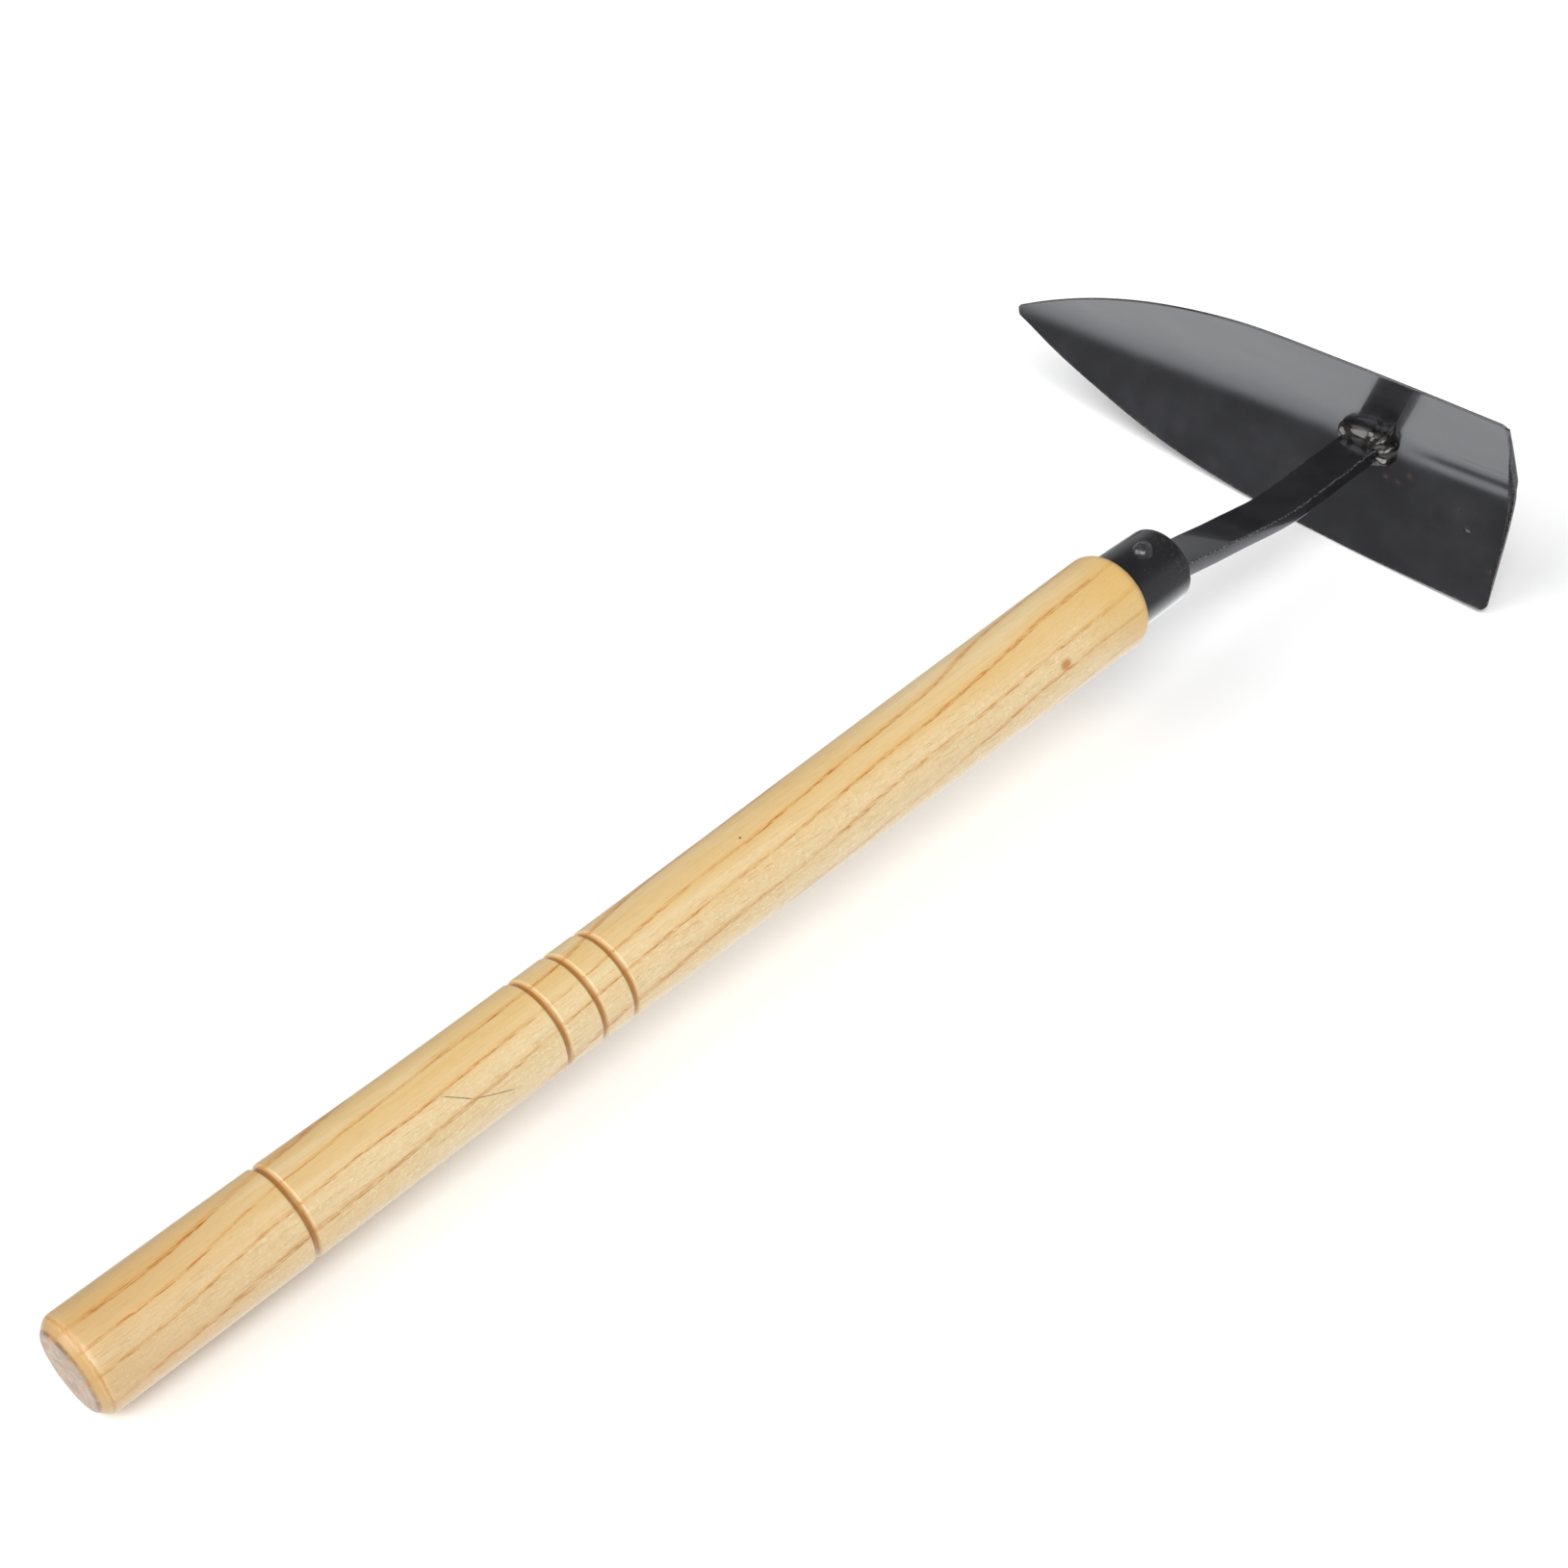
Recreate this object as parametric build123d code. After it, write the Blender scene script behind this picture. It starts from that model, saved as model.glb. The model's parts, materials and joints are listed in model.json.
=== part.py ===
from build123d import *

import os
from math import cos, radians, tan

# Short-handled draw hoe, in millimetres.
# Tool frame: the handle's axis is X, from the butt towards the head, with x = 0 just inside
# the butt face. The blade's point is towards +Y and +Z is up. Each piece is drawn in the tool frame
# and stood up at the end, so that it rests on its butt rim and on the blade's lower edge.

# Handle: (x, radius) along the turned profile, which starts where the butt's chamfer ends
BUTT_X = -2.4
BUTT_CHAMFER = 2.6
HANDLE_STATIONS = [
    (BUTT_X + BUTT_CHAMFER, 12.4),
    (50.0, 12.2),
    (100.0, 11.8),
    (145.0, 11.9),
    (190.0, 12.45),
    (238.0, 13.1),
    (286.0, 13.6),
    (325.0, 14.0),
]
SHOULDER_X = 331.3
SHOULDER_RADIUS = 3.6
GROOVE_STATIONS = [52.9, 125.5, 136.5, 146.1]
GROOVE_RADIUS = 0.9
GROOVE_DEPTH = 0.9

# Ferrule: a drawn steel cup over the handle's nose
FERRULE_LENGTH = 19.6
FERRULE_OUTER_R = 11.3
FERRULE_WALL = 1.3
FERRULE_RIM_RADIUS = 1.1
FERRULE_END_X = SHOULDER_X + FERRULE_LENGTH

# Neck: a flat bar that is also the tang inside the handle
BAR_WIDTH = 13.0
BAR_THICKNESS = 4.2
TANG_DEPTH = 92.0
TANG_TIP_WIDTH = 5.0
TANG_OVERLAP = 12.0
BEND_START_X = 344.0
NECK_SLOPE = 11.3
KNEE_X = 402.0
KNEE_RADIUS = 100.0
NECK_END_Z = -11.6
NECK_OVERRUN = 6.0

# Rivet through ferrule, nose and tang
RIVET_X = 341.2
RIVET_TURN = 13.0
RIVET_SHANK_R = 2.2
RIVET_HEAD_R = 3.0
RIVET_HEAD_HEIGHT = 1.7
RIVET_SEAT = 0.4
RIVET_HOLE_LENGTH = 3 * FERRULE_OUTER_R

# Blade: a leaf folded along its length, hollow towards the handle
CREASE_X = 448.5
CREASE_Z = -10.5
BLADE_TILT = 1.2
FOLD_LEAN = 19.6
FOLD_RADIUS = 18.0
BLADE_THICKNESS = 1.7
POINT_Y = 133.6
SQUARE_END_Y = -50.3
# (y, width from the crease measured along the sheet)
UPPER_EDGE = [(118.9, 8.1), (96.8, 18.0), (69.2, 26.7), (41.6, 31.4), (1.2, 31.2)]
UPPER_CORNER = 28.6
LOWER_EDGE = [(118.9, 9.6), (96.8, 17.5), (69.2, 25.3), (41.6, 30.2), (1.2, 33.9)]
LOWER_CORNER = 36.3
POINT_UPPER = 0.6
POINT_LOWER = 2.7
CORNER_RADIUS = 2.0
POINT_RADIUS = 1.0
# Blank sizes, longer than the pieces that are cut from them
SHEET_REACH = 60.0
SHEET_HALF_LENGTH = 160.0
OUTLINE_HALF_DEPTH = 40.0
BEHIND_SHEET = 20.0

# Weld bead around the neck's end
WELD_REACH = 4.6
WELD_LENGTH = 6.0
WELD_TAPER = 32.0

# Stance: the handle's rise towards the head, and the lean towards the point. The hoe balances
# at a lean of 3.57 and can rock a little either way, so it lies 0.12 degrees past that.
REST_RISE = 3.903
REST_LEAN = 3.69


def handle_radius(x):
    """Radius of the turned profile at a place along the handle."""
    for (x0, r0), (x1, r1) in zip(HANDLE_STATIONS, HANDLE_STATIONS[1:]):
        if x <= x1:
            return r0 + (r1 - r0) * (x - x0) / (x1 - x0)
    return HANDLE_STATIONS[-1][1]


def groove(x):
    """Round-bottomed notch that cuts one turned groove into the profile."""
    return Pos(x, handle_radius(x) + GROOVE_RADIUS - GROOVE_DEPTH) * Circle(GROOVE_RADIUS)


def rivet_placed(shape):
    """Move a shape drawn along Z at the origin onto the rivet's axis."""
    return Pos(RIVET_X, 0, 0) * Rot(RIVET_TURN, 0, 0) * shape


def bar_path():
    """Centre line of the neck outside the straight tang: bend, run, knee and last run."""
    drop = (KNEE_X - BEND_START_X) * tan(radians(NECK_SLOPE))
    points = [(BEND_START_X - TANG_OVERLAP, 0, 0), (BEND_START_X, 0, 0), (KNEE_X, 0, -drop)]
    points.append((CREASE_X + NECK_OVERRUN, 0, NECK_END_Z))
    return FilletPolyline(*points, radius=KNEE_RADIUS)


def neck_blank():
    """Tang and neck as one bar, still running past the blade's hollow face."""
    start = Plane(origin=(BEND_START_X - TANG_OVERLAP, 0, 0), x_dir=(0, 1, 0), z_dir=(1, 0, 0))
    bar = sweep(start * Rectangle(BAR_WIDTH, BAR_THICKNESS), path=bar_path())
    shoulder_x = BEND_START_X - TANG_OVERLAP
    tip_x = SHOULDER_X - TANG_DEPTH
    half_w = BAR_WIDTH / 2
    half_tip = TANG_TIP_WIDTH / 2
    outline = Polyline(
        (shoulder_x, half_w), (tip_x, half_tip), (tip_x, -half_tip), (shoulder_x, -half_w), close=True
    )
    tang = Pos(0, 0, -BAR_THICKNESS / 2) * extrude(make_face(outline), BAR_THICKNESS)
    return bar + tang


def in_blade_frame(shape):
    """Place a shape drawn about the crease, with the crease along Y."""
    return Pos(CREASE_X, 0, CREASE_Z) * Rot(0, BLADE_TILT, 0) * shape


def fold_section(front, back):
    """Rounded V section between two offsets from the sheet's middle, in the XZ plane."""
    lean = radians(FOLD_LEAN)
    run = SHEET_REACH * tan(lean)
    near = front / cos(lean)
    far = back / cos(lean)
    points = [
        (near, 0),
        (near - run, SHEET_REACH),
        (far - run, SHEET_REACH),
        (far, 0),
        (far - run, -SHEET_REACH),
        (near - run, -SHEET_REACH),
    ]
    face = make_face(Polyline(*points, close=True))
    crease = [v for v in face.vertices() if abs(v.Y) < 1e-6]
    crease.sort(key=lambda v: v.X)
    face = fillet(crease[0], FOLD_RADIUS)
    crease = [v for v in face.vertices() if abs(v.Y) < 1e-6 and v.X > 0.1]
    face = fillet(crease, FOLD_RADIUS + back - front)
    return Plane.XZ * face


def behind_hollow_face():
    """Everything from the blade's hollow face backwards, near the neck's end."""
    section = fold_section(-BLADE_THICKNESS / 2, BEHIND_SHEET)
    return in_blade_frame(extrude(section, OUTLINE_HALF_DEPTH, both=True))


def blade_outline():
    """The leaf's outline seen along the handle, in the YZ plane."""
    drop = cos(radians(FOLD_LEAN))
    upper = [(y, w * drop) for y, w in UPPER_EDGE]
    lower = [(y, -w * drop) for y, w in LOWER_EDGE]
    point_top = (POINT_Y, POINT_UPPER)
    point_bottom = (POINT_Y, -POINT_LOWER)
    corner_top = (SQUARE_END_Y, UPPER_CORNER * drop)
    corner_bottom = (SQUARE_END_Y, -LOWER_CORNER * drop)
    edges = [
        Spline(point_top, *upper, corner_top),
        Line(corner_top, corner_bottom),
        Spline(corner_bottom, *reversed(lower), point_bottom),
        Line(point_bottom, point_top),
    ]
    face = make_face(edges)
    corners = [v for v in face.vertices() if v.X < SQUARE_END_Y + 1]
    face = fillet(corners, CORNER_RADIUS)
    tips = [v for v in face.vertices() if v.X > POINT_Y - 0.5]
    face = fillet(tips, POINT_RADIUS)
    return Plane.YZ * face


def handle():
    """Turned wooden handle with its nose, grooves, tang hole and rivet hole."""
    butt_r = HANDLE_STATIONS[0][1]
    end_x, end_r = HANDLE_STATIONS[-1]
    arc_x = SHOULDER_X - SHOULDER_RADIUS
    nose_r = FERRULE_OUTER_R - FERRULE_WALL
    nose_x = FERRULE_END_X - FERRULE_WALL
    edges = [
        Line((BUTT_X, 0), (BUTT_X, butt_r - BUTT_CHAMFER)),
        Line((BUTT_X, butt_r - BUTT_CHAMFER), HANDLE_STATIONS[0]),
        Spline(*HANDLE_STATIONS),
        Line((end_x, end_r), (arc_x, end_r)),
        CenterArc((arc_x, end_r - SHOULDER_RADIUS), SHOULDER_RADIUS, 0, 90),
        Line((SHOULDER_X, end_r - SHOULDER_RADIUS), (SHOULDER_X, nose_r)),
        Line((SHOULDER_X, nose_r), (nose_x, nose_r)),
        Line((nose_x, nose_r), (nose_x, 0)),
        Line((nose_x, 0), (BUTT_X, 0)),
    ]
    profile = make_face(edges)
    for x in GROOVE_STATIONS:
        profile -= groove(x)
    body = revolve(profile, Axis.X)
    hole = rivet_placed(Cylinder(RIVET_SHANK_R, RIVET_HOLE_LENGTH))
    return body - neck_blank() - hole


def ferrule():
    """Cup with a slotted end that lets the neck out."""
    cup = Cylinder(FERRULE_OUTER_R, FERRULE_LENGTH)
    cup = fillet(cup.edges().sort_by(Axis.Z)[-1], FERRULE_RIM_RADIUS)
    inside = Pos(0, 0, -FERRULE_WALL) * Cylinder(FERRULE_OUTER_R - FERRULE_WALL, FERRULE_LENGTH)
    shell = Pos(SHOULDER_X + FERRULE_LENGTH / 2, 0, 0) * Rot(0, 90, 0) * (cup - inside)
    hole = rivet_placed(Cylinder(RIVET_SHANK_R, RIVET_HOLE_LENGTH))
    return shell - neck_blank() - hole


def rivet():
    """Cross rivet with a domed head on each side of the ferrule."""
    shank = Cylinder(RIVET_SHANK_R, 2 * FERRULE_OUTER_R)
    dome_r = (RIVET_HEAD_R**2 + RIVET_HEAD_HEIGHT**2) / (2 * RIVET_HEAD_HEIGHT)
    dome = Pos(0, 0, RIVET_HEAD_HEIGHT - dome_r) * Sphere(dome_r)
    dome &= Pos(0, 0, dome_r) * Box(2 * dome_r, 2 * dome_r, 2 * dome_r)
    seat = FERRULE_OUTER_R - RIVET_SEAT
    heads = Pos(0, 0, seat) * dome + Pos(0, 0, -seat) * Rot(180, 0, 0) * dome
    ferrule_body = Rot(0, 90, 0) * Cylinder(FERRULE_OUTER_R, FERRULE_LENGTH)
    return rivet_placed(shank + (heads - ferrule_body))


def neck():
    """Tang and neck bar, cut off flush with the blade's hollow face and pierced by the rivet."""
    hole = rivet_placed(Cylinder(RIVET_SHANK_R, RIVET_HOLE_LENGTH))
    return neck_blank() - behind_hollow_face() - hole


def blade():
    """Folded leaf, hollow towards the handle."""
    half = BLADE_THICKNESS / 2
    sheet = extrude(fold_section(-half, half), SHEET_HALF_LENGTH, both=True)
    leaf = extrude(blade_outline(), OUTLINE_HALF_DEPTH, both=True)
    return in_blade_frame(sheet & leaf)


def weld_bead():
    """Fillet of weld metal around the neck's end, against the hollow face."""
    base = Rectangle(BAR_THICKNESS + 2 * WELD_REACH, BAR_WIDTH + 2 * WELD_REACH)
    base = fillet(base.vertices(), WELD_REACH)
    bead = extrude(base, WELD_LENGTH, taper=WELD_TAPER)
    bead = Pos(CREASE_X - BLADE_THICKNESS / 2, 0, NECK_END_Z) * Rot(0, -90, 0) * bead
    return bead - behind_hollow_face() - neck_blank()


PIECES = {
    "handle": handle,
    "ferrule": ferrule,
    "rivet": rivet,
    "neck": neck,
    "weld_bead": weld_bead,
    "blade": blade,
}

os.makedirs("parts", exist_ok=True)
made = {name: Rot(-REST_LEAN, 0, 0) * make() for name, make in PIECES.items()}
made = {name: Rot(0, -REST_RISE, 0) * shape for name, shape in made.items()}
whole = Compound(children=[Compound(shape.wrapped) for shape in made.values()]).bounding_box()
to_origin = Pos(-whole.center().X, -whole.center().Y, -whole.min.Z)
for name, shape in made.items():
    export_step(to_origin * shape, f"parts/{name}.step")
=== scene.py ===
import json
import math

import bmesh
import bpy
import numpy as np
from mathutils import Matrix, Vector, noise


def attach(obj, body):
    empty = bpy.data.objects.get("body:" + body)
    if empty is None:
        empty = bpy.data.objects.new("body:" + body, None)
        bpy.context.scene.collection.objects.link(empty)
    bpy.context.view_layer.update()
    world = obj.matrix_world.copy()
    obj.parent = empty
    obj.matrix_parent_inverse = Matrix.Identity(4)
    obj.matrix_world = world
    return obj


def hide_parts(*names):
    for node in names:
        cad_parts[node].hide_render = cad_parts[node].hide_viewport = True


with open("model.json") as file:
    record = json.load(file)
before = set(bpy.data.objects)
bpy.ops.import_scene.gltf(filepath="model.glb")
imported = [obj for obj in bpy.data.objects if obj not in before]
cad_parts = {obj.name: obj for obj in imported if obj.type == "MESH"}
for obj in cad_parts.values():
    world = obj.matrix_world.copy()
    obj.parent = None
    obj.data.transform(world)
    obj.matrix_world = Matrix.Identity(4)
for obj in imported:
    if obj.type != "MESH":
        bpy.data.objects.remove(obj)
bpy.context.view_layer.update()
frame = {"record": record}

# ---------------------------------------------------------------- tool frame
# Pieces are built in the tool frame in millimetres: X runs along the handle from just inside
# the butt face, +Y is towards the blade's point, +Z is up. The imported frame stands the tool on
# its butt rim and on the blade's edge, which turns the tool frame by these two angles.
MM = 0.001
REST_RISE = math.radians(3.903)
REST_LEAN = math.radians(3.69)
BUTT_X = -2.4
BUTT = Vector(next(m["pos_m"] for m in frame["record"]["mounts"] if m["name"] == "butt_face"))
STANCE = Matrix.Rotation(-REST_RISE, 4, "Y") @ Matrix.Rotation(-REST_LEAN, 4, "X")
ORIGIN = BUTT - STANCE @ Vector((BUTT_X * MM, 0, 0))
TOOL = Matrix.Translation(ORIGIN) @ STANCE

# (x, radius) along the turned handle, and where its grooves are
HANDLE_STATIONS = [
    (0.2, 12.4), (50.0, 12.2), (100.0, 11.8), (145.0, 11.9),
    (190.0, 12.45), (238.0, 13.1), (286.0, 13.6), (325.0, 14.0),
]
GROOVES = [52.9, 125.5, 136.5, 146.1]
SHOULDER_X = 331.3
FERRULE_R = 11.3
FERRULE_END = 350.9
BAR_WIDTH = 13.0
BAR_THICKNESS = 4.2
CREASE = Vector((448.5, 0.0, -10.5))
FOLD_LEAN = math.radians(19.6)
BLADE_TILT = math.radians(1.2)
POINT_Y = 133.6
SQUARE_END_Y = -50.3
SHEET = 1.7
SOFTEN_SHARE = 0.45      # a softened corner takes up at most this share of each side


def clamped(value):
    """Value held between 0 and 1."""
    return min(max(value, 0.0), 1.0)


def hump(value, centre, width):
    """Smooth hump, 1 at the centre and fading over about a width."""
    return math.exp(-(((value - centre) / width) ** 2))


def curve_through(stations, x):
    """Smooth value at x on a line through (position, value) stations."""
    xs = [s[0] for s in stations]
    vs = [s[1] for s in stations]
    if x <= xs[0]:
        return vs[0]
    if x >= xs[-1]:
        return vs[-1]
    i = max(k for k in range(len(xs) - 1) if xs[k] <= x)
    slopes = np.gradient(vs, xs)
    h = xs[i + 1] - xs[i]
    t = (x - xs[i]) / h
    a = (1 + 2 * t) * (1 - t) ** 2 * vs[i] + t * t * (3 - 2 * t) * vs[i + 1]
    return a + h * (t * (1 - t) ** 2 * slopes[i] + t * t * (t - 1) * slopes[i + 1])


def soften(points, radius, steps=5):
    """The same polyline with each inner corner turned into a short curve."""
    out = [Vector(points[0])]
    for before, here, after in zip(points, points[1:], points[2:]):
        before, here, after = Vector(before), Vector(here), Vector(after)
        r = min(radius, SOFTEN_SHARE * (here - before).length, SOFTEN_SHARE * (after - here).length)
        start = here + (before - here).normalized() * r
        end = here + (after - here).normalized() * r
        for k in range(steps + 1):
            t = k / steps
            out.append((1 - t) ** 2 * start + 2 * t * (1 - t) * here + t * t * end)
    out.append(Vector(points[-1]))
    return out


def turned(profile, segments):
    """Rings of points for a profile of (x, radius) turned about the X axis."""
    angles = [2 * math.pi * k / segments for k in range(segments)]
    return [[Vector((x, r * math.cos(a), r * math.sin(a))) for a in angles] for x, r in profile]


def loft(rings):
    """Vertices and faces of a closed skin over rings, with both ends capped."""
    count = len(rings[0])
    points = [p for ring in rings for p in ring]
    faces = []
    for i in range(len(rings) - 1):
        for k in range(count):
            n = (k + 1) % count
            faces.append((i * count + k, i * count + n, (i + 1) * count + n, (i + 1) * count + k))
    for ring, base, flip in ((rings[0], 0, True), (rings[-1], (len(rings) - 1) * count, False)):
        centre = len(points)
        points.append(sum(ring, Vector((0, 0, 0))) / count)
        for k in range(count):
            n = (k + 1) % count
            a, b = (base + n, base + k) if flip else (base + k, base + n)
            faces.append((centre, a, b))
    return points, faces


def outward(piece):
    """Turn every face of a closed piece to face out."""
    bm = bmesh.new()
    bm.from_mesh(piece.data)
    bmesh.ops.recalc_face_normals(bm, faces=bm.faces)
    bm.to_mesh(piece.data)
    bm.free()


def make_piece(name, points, faces, material, node, marks=None):
    """A smooth mesh piece that stands for a CAD node; marks are named values per vertex."""
    mesh = bpy.data.meshes.new(name)
    mesh.from_pydata([TOOL @ (Vector(p) * MM) for p in points], [], faces)
    mesh.validate()
    for mark, values in (marks or {}).items():
        attribute = mesh.attributes.new(mark, "FLOAT", "POINT")
        attribute.data.foreach_set("value", list(values))
    mesh.update()
    mesh.polygons.foreach_set("use_smooth", [True] * len(mesh.polygons))
    piece = bpy.data.objects.new(name, mesh)
    bpy.context.scene.collection.objects.link(piece)
    mesh.materials.append(material)
    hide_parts(node)
    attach(piece, "root")
    outward(piece)


# ---------------------------------------------------------------- materials
def linear(red, green, blue):
    """Scene-linear colour of an 8-bit display colour."""
    def one(v):
        v /= 255
        return v / 12.92 if v <= 0.04045 else ((v + 0.055) / 1.055) ** 2.4
    return (one(red), one(green), one(blue), 1.0)


class Graph:
    """Short names for building a node material around one Principled shader."""

    def __init__(self, name):
        self.material = bpy.data.materials.new(name)
        self.material.use_nodes = True
        self.tree = self.material.node_tree
        self.shader = self.tree.nodes["Principled BSDF"]

    def node(self, kind, **settings):
        made = self.tree.nodes.new(kind)
        for key, value in settings.items():
            setattr(made, key, value)
        return made

    def plug(self, socket, value):
        if isinstance(value, bpy.types.NodeSocket):
            self.tree.links.new(value, socket)
        else:
            socket.default_value = value

    def math(self, operation, a, b=0.0, clamp=False):
        made = self.node("ShaderNodeMath", operation=operation, use_clamp=clamp)
        self.plug(made.inputs[0], a)
        self.plug(made.inputs[1], b)
        return made.outputs[0]

    def times(self, a, b):
        return self.math("MULTIPLY", a, b)

    def plus(self, a, b):
        return self.math("ADD", a, b)

    def minus(self, a, b):
        return self.math("SUBTRACT", a, b)

    def spread(self, value, low, high, out_low=0.0, out_high=1.0):
        """Value eased from out_low to out_high while it goes from low to high."""
        made = self.node("ShaderNodeMapRange", interpolation_type="SMOOTHSTEP")
        self.plug(made.inputs["Value"], value)
        self.plug(made.inputs["From Min"], low)
        self.plug(made.inputs["From Max"], high)
        self.plug(made.inputs["To Min"], out_low)
        self.plug(made.inputs["To Max"], out_high)
        return made.outputs["Result"]

    def mix(self, factor, a, b):
        made = self.node("ShaderNodeMix", data_type="RGBA")
        self.plug(made.inputs["Factor"], factor)
        self.plug(made.inputs["A"], a)
        self.plug(made.inputs["B"], b)
        return made.outputs["Result"]

    def tool_mm(self):
        """Position in the tool frame, in millimetres."""
        where = self.node("ShaderNodeTexCoord").outputs["Object"]
        made = self.node("ShaderNodeMapping", vector_type="TEXTURE")
        self.plug(made.inputs["Vector"], where)
        made.inputs["Location"].default_value = ORIGIN
        made.inputs["Rotation"].default_value = (-REST_LEAN, -REST_RISE, 0.0)
        made.inputs["Scale"].default_value = (MM, MM, MM)
        return made.outputs["Vector"]

    def scaled(self, vector, scale):
        made = self.node("ShaderNodeVectorMath", operation="MULTIPLY")
        self.plug(made.inputs[0], vector)
        made.inputs[1].default_value = scale
        return made.outputs[0]

    def noise(self, vector, detail=2.0, roughness=0.5, distortion=0.0):
        made = self.node("ShaderNodeTexNoise")
        self.plug(made.inputs["Vector"], vector)
        made.inputs["Scale"].default_value = 1.0
        made.inputs["Detail"].default_value = detail
        made.inputs["Roughness"].default_value = roughness
        made.inputs["Distortion"].default_value = distortion
        return made

    def haze(self, place, scale, detail=2.0, roughness=0.5, distortion=0.0):
        """Noise from 0 to 1, with its own scale along X, Y and Z in waves per millimetre."""
        return self.noise(self.scaled(place, scale), detail, roughness, distortion).outputs["Fac"]

    def split(self, vector):
        made = self.node("ShaderNodeSeparateXYZ")
        self.plug(made.inputs[0], vector)
        return made.outputs

    def mark(self, name):
        return self.node("ShaderNodeAttribute", attribute_name=name).outputs["Fac"]

    def bump(self, height, strength, distance, before=None):
        made = self.node("ShaderNodeBump")
        made.inputs["Strength"].default_value = strength
        made.inputs["Distance"].default_value = distance
        self.plug(made.inputs["Height"], height)
        if before is not None:
            self.plug(made.inputs["Normal"], before)
        return made.outputs["Normal"]


RING_TURN = math.radians(41.0)
RING_SPACING = 6.6        # width of one growth ring, mm
PITH_DEPTH = 74.0         # how far the pith lies from the handle's axis, mm
RING_DRIFT = 0.055        # slope of the rings along the handle
RING_WANDER = 9.0         # range of their sideways wander, mm
RING_UNEVEN_WAVES = 0.55  # waves of uneven spacing per ring
RING_UNEVEN = 1.1         # range of that unevenness, in rings

# Noise scales of the wood, in waves per millimetre along X, Y and Z
RING_DRIFT_WAVES = (0.010, 0.035, 0.035)
PORE_WAVES = (0.22, 4.2, 4.2)
PATCH_WAVES = (0.030, 0.10, 0.10)
FIBRE_WAVES = (0.045, 2.4, 2.4)
BROAD_WAVES = (0.012, 0.11, 0.11)
HAIR_WAVES = (0.20, 7.0, 7.0)
STREAK_WAVES = (0.016, 0.95, 0.95)
FLECK_WAVES = (1.0, 1.5, 1.5)
MOTTLE_WAVES = (0.8, 0.32, 0.32)

WOOD_PALE = linear(219, 196, 152)
WOOD_BODY = linear(214, 184, 132)
WOOD_HONEY = linear(208, 168, 96)
WOOD_LINE = linear(180, 108, 16)
WOOD_HALO = linear(212, 164, 88)
WOOD_STREAK = linear(170, 126, 66)
WOOD_FLECK_AND_GLINT = linear(226, 208, 172)
WOOD_BURNT = linear(172, 116, 42)
WOOD_BURNT_AND_GROOVE_SHADE = linear(136, 86, 24)
WOOD_BUTT = linear(196, 158, 106)
WOOD_RIM = linear(184, 146, 92)
END_TAN = linear(160, 131, 94)
END_DARK = linear(126, 95, 60)
DOT_BROWN = linear(70, 58, 44)
SCRATCH_GREY = linear(96, 84, 66)
RUST_BROWN = linear(96, 66, 46)
DUST = linear(120, 112, 104)
WELD_BLACK = linear(18, 17, 19)
WELD_LUMP = linear(44, 38, 35)
WELD_BROWN = linear(112, 84, 62)
FERRULE_BLACK = linear(26, 26, 28)
FERRULE_WORN = linear(92, 88, 84)
RIVET_BLACK = linear(34, 34, 37)
RIVET_WORN = linear(108, 106, 104)
NECK_BLACK = linear(22, 22, 24)
NECK_WORN = linear(170, 166, 162)
BLADE_BLACK = linear(24, 24, 27)
BLADE_WORN = linear(132, 104, 84)

# Marks on the wood, in millimetres in the tool frame
SCRATCHES = [((92.6, -8.0, 9.2), (99.1, -11.0, 5.0)), ((99.1, -11.0, 5.0), (109.5, -12.0, 0.4))]
SCRATCH_HALF = 0.06
SCRATCH_FADE = 0.20
DARK_DOT = (191.4, -1.6, 12.5)
DOT_RADIUS = 0.15
DOT_SOFT = 0.35
KNOT = (297.0, -12.9, 4.5)
KNOT_STRETCH = 0.7
KNOT_RADIUS = 0.6
KNOT_SOFT = 1.3
BURN_CORE = 0.35          # half width of a groove's burnt middle, mm
BURN_FADE = 0.95          # half width at which the burn has faded, mm
BUTT_TINT = (20.0, 120.0)         # the darker butt fades out between these X
SHOULDER_TINT = (316.0, 346.0)    # the darker head end fades in between these X
SHOULDER_BURN = (SHOULDER_X - 1.6, SHOULDER_X - 0.3)    # the shoulder darkens between these X
END_GRAIN = (-2.1, -1.5)          # end grain fades into side grain between these X
# The near, lower side, painted paler as painted sheen, with more pale flecks (partly ray flecks,
# partly painted glints) and fainter growth lines, is near and below in these shares
SHEEN_AND_RAY_NEAR = 0.80
SHEEN_AND_RAY_BELOW = 0.60


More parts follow.
